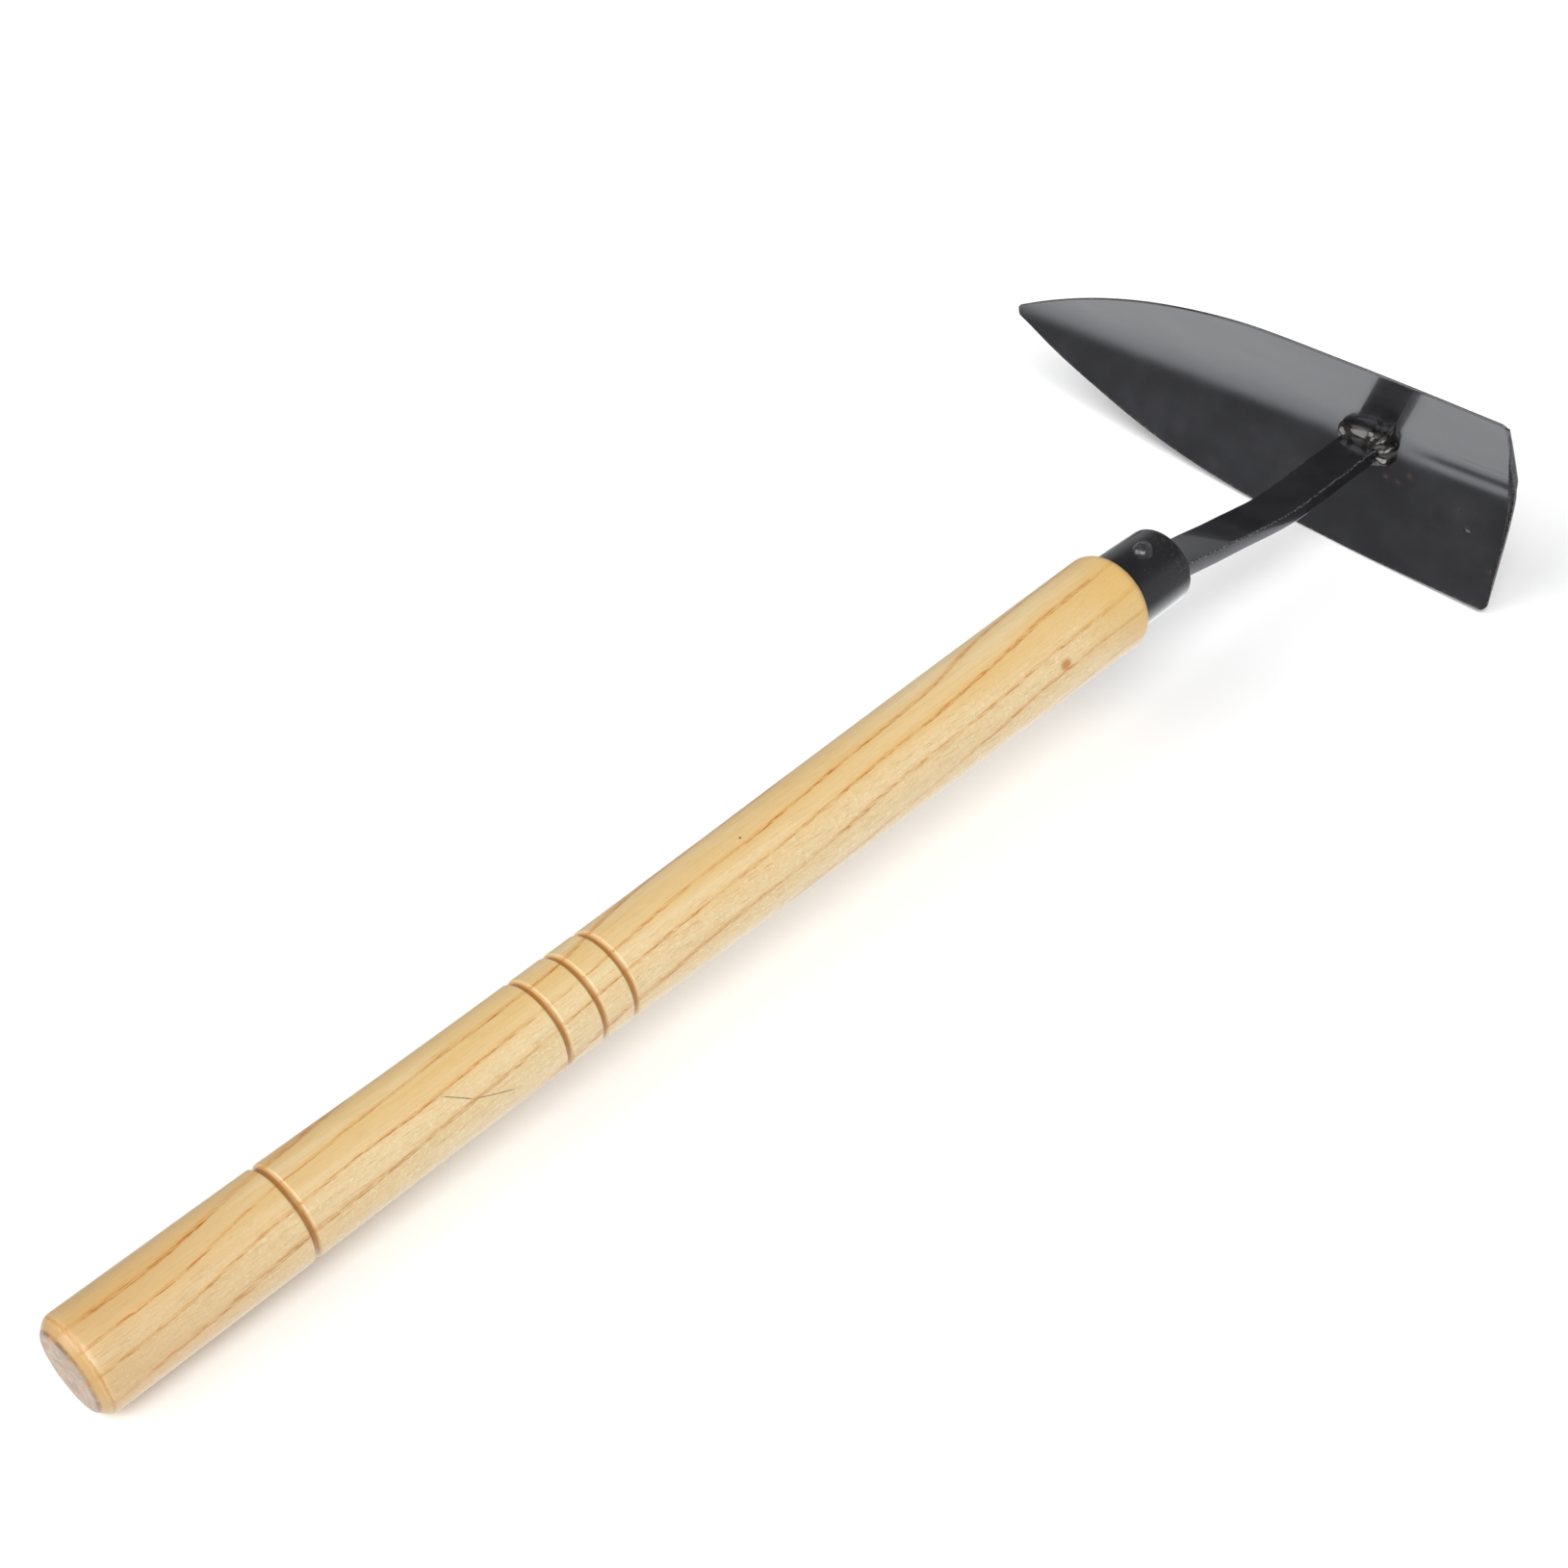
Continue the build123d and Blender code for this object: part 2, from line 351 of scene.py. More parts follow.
def growth_lines(g, place):
    """Early-wood bands of a ring-porous wood: crisp core, wide halo and place inside the ring."""
    drift = g.noise(g.scaled(place, RING_DRIFT_WAVES), detail=2.0).outputs["Color"]
    centred = g.node("ShaderNodeVectorMath", operation="SUBTRACT")
    g.plug(centred.inputs[0], drift)
    centred.inputs[1].default_value = (0.5, 0.5, 0.5)
    warped = g.node("ShaderNodeVectorMath", operation="ADD")
    g.plug(warped.inputs[0], place)
    g.plug(warped.inputs[1], g.scaled(centred.outputs[0], (0.0, RING_WANDER, RING_WANDER)))
    x, y, z = g.split(warped.outputs[0])
    across = g.plus(g.times(y, math.cos(RING_TURN)), g.times(z, math.sin(RING_TURN)))
    along = g.minus(g.times(z, math.cos(RING_TURN)), g.times(y, math.sin(RING_TURN)))
    deep = g.plus(g.minus(across, g.times(x, RING_DRIFT)), PITH_DEPTH)
    distance = g.math("SQRT", g.plus(g.times(deep, deep), g.times(along, along)))
    age = g.math("DIVIDE", distance, RING_SPACING)
    uneven = g.node("ShaderNodeTexNoise", noise_dimensions="1D")
    g.plug(uneven.inputs["W"], g.times(age, RING_UNEVEN_WAVES))
    uneven.inputs["Scale"].default_value = 1.0
    age = g.plus(age, g.times(uneven.outputs["Fac"], RING_UNEVEN))
    part = g.math("FRACT", age)
    rise = g.spread(part, 0.0, 0.03)
    core = g.times(rise, g.spread(part, 0.09, 0.22, 1.0, 0.0))
    halo = g.times(rise, g.spread(part, 0.06, 0.42, 1.0, 0.0))
    return core, halo, part


def groove_mark(g, x):
    """How deep in a turned groove a place is, from 0 to 1."""
    mark = 0.0
    for station in GROOVES:
        away = g.math("ABSOLUTE", g.minus(x, station))
        mark = g.math("MAXIMUM", mark, g.spread(away, BURN_CORE, BURN_FADE, 1.0, 0.0))
    return mark


def near_spot(g, place, centre, radius, soft):
    """Mark of a small spot on the surface, 1 inside and 0 outside."""
    away = g.node("ShaderNodeVectorMath", operation="DISTANCE")
    g.plug(away.inputs[0], place)
    away.inputs[1].default_value = centre
    return g.spread(away.outputs["Value"], radius, radius + soft, 1.0, 0.0)


def scratch_mark(g, place, start, end):
    """Hairline scratch between two points of the surface."""
    start, end = Vector(start), Vector(end)
    outward_way = Vector((0, start.y + end.y, start.z + end.z))
    across = (end - start).cross(outward_way).normalized()
    dot = g.node("ShaderNodeVectorMath", operation="DOT_PRODUCT")
    g.plug(dot.inputs[0], place)
    dot.inputs[1].default_value = across
    off = g.math("ABSOLUTE", g.minus(dot.outputs["Value"], across.dot(start)))
    line = g.spread(off, SCRATCH_HALF, SCRATCH_FADE, 1.0, 0.0)
    half = (end - start).length / 2
    return g.times(line, near_spot(g, place, (start + end) / 2, half * 0.6, half * 0.5))


def wood_marks(g, place, colour):
    """The wood's colour with its knot, dark dot and scratches."""
    knot_centre = (KNOT_STRETCH * KNOT[0], KNOT[1], KNOT[2])
    knot_place = g.scaled(place, (KNOT_STRETCH, 1.0, 1.0))
    knot = near_spot(g, knot_place, knot_centre, KNOT_RADIUS, KNOT_SOFT)
    colour = g.mix(g.times(knot, 0.8), colour, WOOD_LINE)
    colour = g.mix(near_spot(g, place, DARK_DOT, DOT_RADIUS, DOT_SOFT), colour, DOT_BROWN)
    for start, end in SCRATCHES:
        scratch = g.times(scratch_mark(g, place, start, end), 0.75)
        colour = g.mix(scratch, colour, SCRATCH_GREY)
    return colour


def burnt_wood(g, x, colour):
    """The wood's colour with its burnt grooves, darker at their cores as painted shade, and darkened
    shoulder edge.
    """
    burnt_end = g.spread(x, *SHOULDER_BURN, 0.0, 0.7)
    colour = g.mix(burnt_end, colour, WOOD_BURNT)
    groove = groove_mark(g, x)
    colour = g.mix(g.times(groove, 0.90), colour, WOOD_BURNT)
    # Painted shade: each groove's core is darkened further, over its burnt brown
    colour = g.mix(g.spread(groove, 0.80, 1.0, 0.0, 0.40), colour, WOOD_BURNT_AND_GROOVE_SHADE)
    return colour


def butt_end(g, place, x, band, colour):
    """The wood's colour with the sawn end's grain and the dark line round its rim."""
    mottle = g.haze(place, MOTTLE_WAVES, detail=4.0, roughness=0.6)
    grain_end = g.mix(g.spread(mottle, 0.38, 0.60), END_TAN, END_DARK)
    grain_end = g.mix(g.times(band, 0.5), grain_end, WOOD_LINE)
    ragged = g.plus(x, g.times(mottle, 1.4))
    edge_line = g.times(g.spread(ragged, 0.3, 0.8), g.spread(ragged, 0.9, 1.4, 1.0, 0.0))
    colour = g.mix(g.spread(ragged, -0.2, 1.0, 0.85, 0.0), colour, WOOD_RIM)
    colour = g.mix(g.times(edge_line, 0.55), colour, WOOD_BURNT)
    colour = g.mix(g.spread(x, *END_GRAIN, 0.95, 0.0), colour, grain_end)
    return colour


def varnished_wood():
    """Pale ring-porous wood under clear satin varnish, grooves burnt brown with painted shade at
    their cores, and painted sheen and glints on the near, lower side.
    """
    g = Graph("varnished_wood")
    place = g.tool_mm()
    x, y, z = g.split(place)
    band, halo, part = growth_lines(g, place)
    pores = g.haze(place, PORE_WAVES, detail=3.0, roughness=0.65)
    dashes = g.spread(pores, 0.50, 0.57)
    patches = g.haze(place, PATCH_WAVES, detail=1.0)
    strength = g.spread(patches, 0.30, 0.50, 0.55, 1.0)
    line = g.times(g.times(band, g.plus(g.times(dashes, 0.84), 0.16)), strength)
    fibres = g.haze(place, FIBRE_WAVES, detail=4.0, roughness=0.65)
    broad = g.haze(place, BROAD_WAVES, detail=2.0)
    hair = g.haze(place, HAIR_WAVES, detail=2.0, roughness=0.55)
    hair_line = g.spread(hair, 0.60, 0.68)
    streaks = g.haze(place, STREAK_WAVES, detail=3.0, roughness=0.6)
    flecks = g.haze(place, FLECK_WAVES, detail=3.0, roughness=0.6, distortion=0.8)

    # Mask of the near, lower side: painted sheen and painted glints go here, along with the ray
    # figure
    sheen_and_ray_side = g.minus(g.times(y, -SHEEN_AND_RAY_NEAR), g.times(z, SHEEN_AND_RAY_BELOW))
    sheen_and_ray_side = g.spread(g.plus(sheen_and_ray_side, g.times(broad, 8.0)), 0.0, 10.0)

    colour = g.mix(g.spread(broad, 0.34, 0.66), WOOD_BODY, WOOD_PALE)
    colour = g.mix(g.spread(fibres, 0.42, 0.72, 0.0, 0.42), colour, WOOD_HONEY)
    colour = g.mix(g.spread(streaks, 0.50, 0.72, 0.0, 0.30), colour, WOOD_HONEY)
    colour = g.mix(g.spread(part, 0.45, 1.0, 0.0, 0.28), colour, WOOD_HONEY)
    # Painted sheen: the near, lower side is mixed paler
    colour = g.mix(g.times(sheen_and_ray_side, 0.35), colour, WOOD_PALE)
    # Pale flecks on that side: partly ray flecks, partly painted glints
    colour = g.mix(g.times(g.spread(flecks, 0.50, 0.66, 0.0, 0.75), sheen_and_ray_side), colour, WOOD_FLECK_AND_GLINT)
    streak_line = g.times(hair_line, g.spread(sheen_and_ray_side, 0.0, 1.0, 0.20, 0.62))
    colour = g.mix(streak_line, colour, WOOD_STREAK)
    tilted = g.plus(x, g.times(broad, 60.0))
    colour = g.mix(g.spread(tilted, *BUTT_TINT, 0.55, 0.0), colour, WOOD_BUTT)
    glow = g.times(halo, g.times(strength, g.spread(sheen_and_ray_side, 0.0, 1.0, 0.50, 0.25)))
    glow = g.times(glow, g.spread(fibres, 0.30, 0.55, 0.45, 1.0))
    colour = g.mix(glow, colour, WOOD_HALO)
    line = g.times(line, g.spread(sheen_and_ray_side, 0.0, 1.0, 1.0, 0.75))
    colour = g.mix(line, colour, WOOD_LINE)

    shoulder = g.spread(g.plus(x, g.times(patches, 30.0)), *SHOULDER_TINT, 0.0, 0.70)
    colour = g.mix(shoulder, colour, WOOD_HONEY)
    colour = wood_marks(g, place, colour)
    colour = burnt_wood(g, x, colour)
    colour = butt_end(g, place, x, band, colour)
    g.plug(g.shader.inputs["Base Color"], colour)

    g.plug(g.shader.inputs["Roughness"], g.spread(fibres, 0.3, 0.7, 0.34, 0.48))
    g.shader.inputs["Coat Weight"].default_value = 0.35
    g.shader.inputs["Coat Roughness"].default_value = 0.22
    g.shader.inputs["Coat IOR"].default_value = 1.5
    height = g.minus(g.times(fibres, 0.5), g.times(g.plus(line, hair_line), 0.4))
    height = g.plus(height, g.times(g.times(flecks, sheen_and_ray_side), 1.1))
    g.plug(g.shader.inputs["Normal"], g.bump(height, 0.45, 0.00018))
    return g.material


# Noise scales of the enamel and the weld, in waves per millimetre along X, Y and Z
CLOUD_WAVES = (0.06, 0.06, 0.06)
FINE_WAVES = (0.9, 0.9, 0.9)
SPECK_WAVES = (2.4, 2.4, 2.4)
SWELL_WAVES = (0.11, 0.05, 0.11)
LUMP_WAVES = (0.40, 0.22, 0.70)
WELD_FINE_WAVES = (2.0, 2.0, 2.0)
LACQUER_TINT = (0.90, 0.91, 1.0, 1.0)


def enamel(name, base, worn, gloss, wear, peel=0.25, grit=0.9, depth=1.7):
    """Gloss black paint over steel: faint orange peel, dust and paint worn thin where marked."""
    g = Graph(name)
    place = g.tool_mm()
    cloud = g.haze(place, CLOUD_WAVES, detail=3.0)
    fine = g.haze(place, FINE_WAVES, detail=3.0, roughness=0.6)
    specks = g.haze(place, SPECK_WAVES, detail=1.0)
    speck = g.spread(specks, 0.735, 0.76)
    grains = g.haze(place, (grit, grit, grit), detail=3.0, roughness=0.6)
    rubbed = g.times(g.mark("wear"), g.spread(grains, 0.52, 0.62))
    rubbed = g.math("MULTIPLY", rubbed, wear, clamp=True)
    lighter = tuple(1.5 * c + 0.003 for c in base[:3]) + (1.0,)
    colour = g.mix(g.spread(cloud, 0.35, 0.7), base, lighter)
    colour = g.mix(g.times(speck, 0.25), colour, DUST)
    colour = g.mix(g.times(g.mark("rust"), g.spread(fine, 0.35, 0.60)), colour, RUST_BROWN)
    colour = g.mix(rubbed, colour, worn)
    g.plug(g.shader.inputs["Base Color"], colour)
    g.plug(g.shader.inputs["Metallic"], g.times(rubbed, 0.7))
    rough = g.spread(cloud, 0.3, 0.7, gloss, gloss + 0.06)
    g.plug(g.shader.inputs["Roughness"], g.plus(rough, g.times(rubbed, 0.25)))
    g.shader.inputs["IOR"].default_value = depth
    g.shader.inputs["Specular Tint"].default_value = LACQUER_TINT
    g.shader.inputs["Coat Weight"].default_value = 1.0
    g.shader.inputs["Coat IOR"].default_value = 1.5
    g.shader.inputs["Coat Roughness"].default_value = 0.07
    swell = g.haze(place, SWELL_WAVES, detail=1.0)
    normal = g.bump(swell, peel, 0.0008)
    normal = g.bump(fine, 0.10, 0.00012, before=normal)
    g.plug(g.shader.inputs["Normal"], normal)
    return g.material


def weld_metal():
    """Weld under black enamel: ripples, glossy lumps and brownish hollows."""
    g = Graph("weld_enamel")
    place = g.tool_mm()
    lumps = g.haze(place, LUMP_WAVES, detail=3.0, roughness=0.6)
    fine = g.haze(place, WELD_FINE_WAVES, detail=3.0)
    colour = g.mix(g.spread(lumps, 0.42, 0.66), WELD_BLACK, WELD_LUMP)
    colour = g.mix(g.spread(fine, 0.60, 0.70, 0.0, 0.5), colour, WELD_BROWN)
    g.plug(g.shader.inputs["Base Color"], colour)
    g.shader.inputs["Metallic"].default_value = 0.2
    g.plug(g.shader.inputs["Roughness"], g.spread(lumps, 0.3, 0.7, 0.10, 0.22))
    g.shader.inputs["Coat Weight"].default_value = 0.9
    g.shader.inputs["Coat Roughness"].default_value = 0.05
    normal = g.bump(lumps, 0.40, 0.0010)
    normal = g.bump(fine, 0.15, 0.0002, before=normal)
    g.plug(g.shader.inputs["Normal"], normal)
    return g.material


# ---------------------------------------------------------------- handle
BUTT_CHAMFER = 2.6
SHOULDER_RADIUS = 3.6
GROOVE_DEPTH = 0.9
GROOVE_HALF = 0.82
GROOVE_REACH = 1.6
HANDLE_STEP = 2.5
HANDLE_SEGMENTS = 160
HIDDEN_STEP = 1.5         # the end ring, inside the ferrule, is smaller than it by this


def handle_piece():
    """The turned handle, from its chamfered butt to the rounded shoulder."""
    butt_r = HANDLE_STATIONS[0][1]
    end_r = HANDLE_STATIONS[-1][1]
    face = [(BUTT_X, r, 0) for r in (0.05, 4, 8, butt_r - BUTT_CHAMFER)]
    side = [(BUTT_X + BUTT_CHAMFER, butt_r, 0), (6, butt_r, 0)]
    profile = [(p.x, p.y) for p in soften(face + side, 1.3)]
    stations = set(np.arange(7.0, SHOULDER_X - SHOULDER_RADIUS, HANDLE_STEP).round(3))
    for groove in GROOVES:
        stations |= set((groove + np.linspace(-GROOVE_REACH, GROOVE_REACH, 25)).round(3))
    for x in sorted(stations):
        r = curve_through(HANDLE_STATIONS, x)
        r -= sum(GROOVE_DEPTH * math.exp(-((abs(x - s) / GROOVE_HALF) ** 4)) for s in GROOVES)
        profile.append((x, r))
    arc_x = SHOULDER_X - SHOULDER_RADIUS
    for k in range(13):
        a = math.radians(90 * k / 12)
        drop = SHOULDER_RADIUS * (1 - math.cos(a))
        profile.append((arc_x + SHOULDER_RADIUS * math.sin(a), end_r - drop))
    profile.append((SHOULDER_X, FERRULE_R - HIDDEN_STEP))
    points, faces = loft(turned(profile, HANDLE_SEGMENTS))
    make_piece("handle_wood", points, faces, varnished_wood(), "handle")


# ---------------------------------------------------------------- ferrule and rivet
RIM_RADIUS = 1.1
CUP_OVERLAP = 1.5         # how far the cup starts back inside the wood of the shoulder
CUP_MOUTH = 1.3           # how far the mouth's edge goes in from the outside
MOUTH_SOFT = 0.12
CUP_INNER_R = 2           # innermost ring of the flat end face
CUP_SEGMENTS = 128
# The cup is drawn in on the side that faces this way, by up to this share at its end
DRAWN_Y = 0.6
DRAWN_Z = 0.8
DRAWN_SHARE = 0.06
RIM_WEAR_X = 1.6
RIM_WEAR_R = 1.4
RIVET_X = 341.2
RIVET_TURN = math.radians(13.0)
RIVET_HEAD_R = 3.0
RIVET_HEAD_HEIGHT = 1.7
RIVET_SUNK = 0.4          # how far a head's rim is buried in the ferrule
RIVET_RINGS = 14
RIVET_SEGMENTS = 48


def ferrule_piece():
    """The drawn cup: straight wall, rolled rim and flat end that the neck comes out of."""
    start_x = SHOULDER_X - CUP_OVERLAP
    mouth = [(start_x, FERRULE_R - CUP_MOUTH, 0), (start_x, FERRULE_R, 0)]
    end = [(FERRULE_END, FERRULE_R, 0), (FERRULE_END, CUP_INNER_R, 0)]
    corners = mouth + end
    outline = soften(corners, MOUTH_SOFT, steps=3)
    rim = soften(corners[1:], RIM_RADIUS, steps=9)
    profile = [(p.x, p.y) for p in outline[:5]] + [(start_x + d, FERRULE_R) for d in (3, 6, 9, 12)]
    profile += [(p.x, p.y) for p in rim[1:]]
    points, faces = loft(turned(profile, CUP_SEGMENTS))
    for p in points:
        over = max(0.0, (DRAWN_Y * p.y + DRAWN_Z * p.z) / FERRULE_R)
        share = max(0.0, (p.x - start_x - CUP_OVERLAP) / (FERRULE_END - start_x))
        p.yz = p.yz * (1 - DRAWN_SHARE * share * over * over)
    wear = []
    for p in points:
        on_rim = p.x > FERRULE_END - RIM_WEAR_X and math.hypot(p.y, p.z) > FERRULE_R - RIM_WEAR_R
        wear.append(1.0 if on_rim else 0.0)
    paint = enamel("ferrule_enamel", FERRULE_BLACK, FERRULE_WORN, 0.17, 0.22, depth=1.18)
    make_piece("ferrule_cup", points, faces, paint, "ferrule", {"wear": wear})


def rivet_piece():
    """Both domed heads of the cross rivet, hammered a little out of round."""
    points, faces, wear = [], [], []
    rings, segments = RIVET_RINGS, RIVET_SEGMENTS
    for side in (1, -1):
        base = len(points)
        for i in range(rings + 1):
            t = i / rings
            for k in range(segments if i else 1):
                a = 2 * math.pi * k / segments
                out_of_round = 1 + 0.05 * math.sin(2 * a + 0.6) + 0.03 * math.sin(3 * a)
                r = RIVET_HEAD_R * out_of_round * math.sin(t * math.pi / 2)
                off_axis = r * math.cos(a + math.pi / 2)
                seat = math.sqrt(max(FERRULE_R**2 - off_axis**2, 0)) - RIVET_SUNK
                dome = seat + (RIVET_HEAD_HEIGHT + RIVET_SUNK) * math.cos(t * math.pi / 2) ** 0.8
                dimple = 0.18 * noise.noise(Vector((r * math.cos(a), r * math.sin(a), side * 3.0)))
                p = Vector((r * math.cos(a), r * math.sin(a), side * (dome + dimple)))
                points.append(Matrix.Rotation(RIVET_TURN, 3, "X") @ p + Vector((RIVET_X, 0, 0)))
                wear.append(0.5 + 0.5 * math.cos(t * math.pi))
        first = base + 1
        faces += [(base, first + k, first + (k + 1) % segments) for k in range(segments)]
        for i in range(rings - 1):
            inner, outer = first + i * segments, first + (i + 1) * segments
            for k in range(segments):
                n = (k + 1) % segments
                faces.append((inner + k, inner + n, outer + n, outer + k))
        rim = first + (rings - 1) * segments
        faces.append(tuple(rim + k for k in range(segments)))
    paint = enamel("rivet_enamel", RIVET_BLACK, RIVET_WORN, 0.34, 0.25, peel=0.6, depth=1.4)
    make_piece("rivet_heads", points, faces, paint, "rivet", {"wear": wear})


# ---------------------------------------------------------------- neck
NECK_START_X = 345.0
NECK_STOP_X = 446.2
BEND_X = 344.0
KNEE_X = 402.0
NECK_SLOPE = math.tan(math.radians(11.3))
KNEE_SOFT = 0.7
NECK_EDGE = 0.5
NECK_STEPS = 150
NECK_LOOK = 0.8           # how far ahead and behind the bar's direction is read


def neck_centre(x):
    """Centre of the bar at a distance along the tool, bent smoothly at the knee."""
    after = -NECK_SLOPE * (KNEE_X - BEND_X)
    before = -NECK_SLOPE * (x - BEND_X)
    rounded = KNEE_SOFT * math.log(1 + math.exp(-abs(before - after) / KNEE_SOFT))
    return Vector((x, 0, max(before, after) + rounded))


def neck_piece():
    """The flat bar between the ferrule and the blade, with soft forged edges."""
    half_w = BAR_WIDTH / 2
    rings, wear = [], []
    for i in range(NECK_STEPS + 1):
        x = NECK_START_X + (NECK_STOP_X - NECK_START_X) * i / NECK_STEPS
        here = neck_centre(x)
        ahead = neck_centre(x + NECK_LOOK) - neck_centre(x - NECK_LOOK)
        up = Vector((-ahead.z, 0, ahead.x)).normalized()
        half_t = BAR_THICKNESS / 2 + 0.12 * noise.noise(Vector((x * 0.07, 8.0, 2.0)))
        far_side = [(half_w, -half_t, 0), (half_w, half_t, 0)]
        near_side = [(-half_w, half_t, 0), (-half_w, -half_t, 0)]
        section = far_side + near_side
        loop = soften(section[-1:] + section + section[:1], NECK_EDGE, steps=4)[1:-1]
        ring = []
        for p in loop:
            hammer = 0.07 * noise.noise(Vector((x * 0.12, p.x * 0.25, p.y * 0.7 + 5.0)))
            swell = 1 + 0.006 * noise.noise(Vector((x * 0.09, 3.0, 1.0)))
            ring.append(here + Vector((0, p.x * swell, 0)) + up * (p.y * (1 + hammer)))
            corner = abs(p.x) > half_w - NECK_EDGE * 0.9 and abs(p.y) > half_t - NECK_EDGE * 0.9
            wear.append((1.0 if p.x < 0 and p.y > 0 else 0.35) if corner else 0.0)
        rings.append(ring)
    points, faces = loft(rings)
    wear += [0.0, 0.0]
    paint = enamel("neck_enamel", NECK_BLACK, NECK_WORN, 0.20, 0.9, grit=2.2)
    make_piece("neck_bar", points, faces, paint, "neck", {"wear": wear})


# ---------------------------------------------------------------- blade
# (y, width from the crease) of the blade's two long edges, from the point to the square end
UPPER_EDGE = [
    (133.6, 0.6), (118.9, 8.1), (96.8, 18.0), (69.2, 26.7), (41.6, 31.4), (1.2, 31.2), (-50.3, 28.6),
]
LOWER_EDGE = [
    (133.6, 2.7), (118.9, 9.6), (96.8, 17.5), (69.2, 25.3), (41.6, 30.2), (1.2, 33.9), (-50.3, 36.3),
]
FOLD_SOFT = 6.8
FOLD_SOFT_POINT = 8.5
CORNER_RADIUS = 2.2
POINT_ROUND = 1.2
EDGE_ROUND = 0.3
EDGE_GRIND = 6.0
EDGE_THICKNESS = 0.7
GRIND_FROM = 0.8          # ground only where the sheet has more than this share of its thickness
END_ROUND = 0.5
BLADE_ROWS = 260
BLADE_ACROSS = 110
EDGE_STEPS = 6
# A shallow crimp beside the crease, which grows from CRIMP_START_Y towards the square end
CRIMP_START_Y = -12.0
CRIMP_LENGTH = 14.0
# Wear of the paint along the edges, and rust round the weld spatter
WEAR_WIDTH = 0.7
UPPER_WEAR = 0.30
OTHER_WEAR = 0.80
POINT_WEAR_LENGTH = 6
RUST_REACH = 0.5
RUST_STRENGTH = 0.7
# (y, w, radius, height towards the handle) of spatter and dimples, as the hollow face shows them
SPOTS = [
    (-38.6, -14.6, 1.3, -0.30), (-38.0, -16.6, 1.6, 0.12), (-34.4, -11.0, 0.6, 0.20),
    (-48.2, -24.6, 0.5, 0.20), (-16.4, -6.5, 0.7, 0.30), (-9.0, -8.6, 0.9, 0.40),
    (-13.0, -9.5, 0.5, 0.25), (63.4, -16.1, 1.3, -0.08), (50.4, -22.9, 2.6, -0.10),
    (58.0, -19.0, 1.0, -0.06), (84.0, -10.0, 1.6, -0.06), (22.0, -14.0, 2.0, -0.06),
]
RUSTY_SPOTS = SPOTS[2:7]


def edge_width(stations, y):
    """Width from the crease to an edge, with the square end's corner and the point rounded."""
    wide = curve_through(sorted(stations), y)
    into = y - SQUARE_END_Y
    if into < CORNER_RADIUS:
        wide -= CORNER_RADIUS - math.sqrt(CORNER_RADIUS**2 - (CORNER_RADIUS - into) ** 2)
    from_point = POINT_Y - y
    if from_point < POINT_ROUND:
        wide *= math.sqrt(max(1 - (1 - from_point / POINT_ROUND) ** 2, 0.0))
    return wide


def dents(y, w):
    """How far the sheet lies off the true fold: slow waves, crimp, end dent and spots."""
    out = 0.10 * noise.noise(Vector((y * 0.035, w * 0.05, 2.0)))
    reach = clamped((CRIMP_START_Y - y) / CRIMP_LENGTH)
    out += 0.26 * reach * hump(w, 5.2, 2.4) - 0.30 * reach * hump(w, 1.6, 1.8)
    out -= 0.35 * hump(y, SQUARE_END_Y, 4.0) * hump(w, -4.0, 6.0)
    for spot_y, spot_w, radius, height in SPOTS:
        away = math.hypot(y - spot_y, w - spot_w) / radius
        if away < 3:
            out -= height * math.exp(-away * away)
    return out


def blade_surface(y, w, lift):
    """Point on the folded sheet: w across it from the crease, lift along its normal."""
    along = clamped((y - SQUARE_END_Y) / (POINT_Y - SQUARE_END_Y))
    soft = FOLD_SOFT + (FOLD_SOFT_POINT - FOLD_SOFT) * along
    bow = soft * (abs(w) / soft + math.log(1 + math.exp(-2 * abs(w) / soft)))
    x = -math.sin(FOLD_LEAN) * bow + dents(y, w)
    z = math.cos(FOLD_LEAN) * w
    slope = math.sin(FOLD_LEAN) * math.tanh(w / soft)
    normal = Vector((math.cos(FOLD_LEAN), 0, slope)).normalized()
    p = Vector((x, y, z)) + normal * lift
    return Matrix.Rotation(BLADE_TILT, 3, "Y") @ p + CREASE


def back_lift(gap, thick):
    """Height of the back face over the sheet's middle: the edges are ground thin from behind."""
    if thick <= GRIND_FROM * SHEET / 2:
        return thick
    share = clamped(gap / EDGE_GRIND)
    thin = EDGE_THICKNESS - thick
    return min(thick, thin + (thick - thin) * share * share * (3 - 2 * share))


def rounded_edge(y, width, thick, side):
    """Points round a long edge: side 1, the upper, goes to the back face and -1 returns from it."""
    points = []
    for k in range(1, EDGE_STEPS):
        a = math.pi * k / EDGE_STEPS
        w = side * (width + EDGE_ROUND * min(width, 1.0) * math.sin(a))
        lift = -thick + (back_lift(0.0, thick) + thick) * 0.5 * (1 - side * math.cos(a))
        points.append(blade_surface(y, w, lift))
    return points


def blade_ring(y, upper, lower, thick):
    """Closed ring of points round the sheet at y, and how far across from the crease each is."""
    places = [-lower + k / BLADE_ACROSS * (upper + lower) for k in range(BLADE_ACROSS + 1)]
    hollow = [blade_surface(y, w, -thick) for w in places]
    back = [
        blade_surface(y, w, back_lift(min(upper - w, w + lower), thick)) for w in reversed(places)
    ]
    top = rounded_edge(y, upper, thick, 1)
    bottom = rounded_edge(y, lower, thick, -1)
    across = places + [upper] * len(top) + places[::-1] + [-lower] * len(bottom)
    return hollow + top + back + bottom, across


